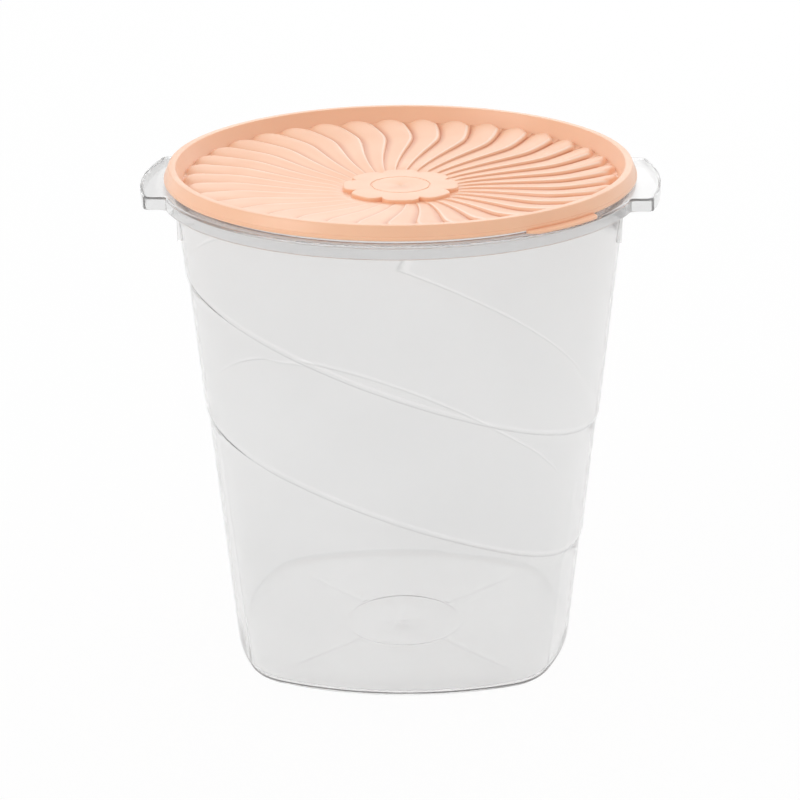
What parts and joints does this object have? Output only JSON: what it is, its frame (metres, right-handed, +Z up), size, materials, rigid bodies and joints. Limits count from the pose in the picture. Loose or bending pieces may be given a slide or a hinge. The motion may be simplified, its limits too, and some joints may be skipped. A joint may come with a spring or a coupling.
{
  "type": "food canister",
  "caption": "Clear tapering kitchen canister, round at the mouth and square at the base, with grip ears and a swirl-pleated push-fit lid.",
  "frame": {"origin": "centre of the base, on the surface that the canister stands on", "axes": "+Z up through the mouth, +X towards one grip ear, -Y the front seen in the picture"},
  "size_m": [0.282, 0.2606, 0.2774],
  "materials": {
    "clear_plastic": "clear, polished",
    "lid_plastic": "satin, soft moulded"
  },
  "bodies": {
    "tub": {"tub": "clear_plastic"},
    "lid": {"lid": "lid_plastic"}
  },
  "joints": [
    {"name": "lid_lift", "type": "slide", "parent": "tub", "child": "lid", "axis": [0, 0, 1], "range_m": [0, 0.1]}
  ]
}
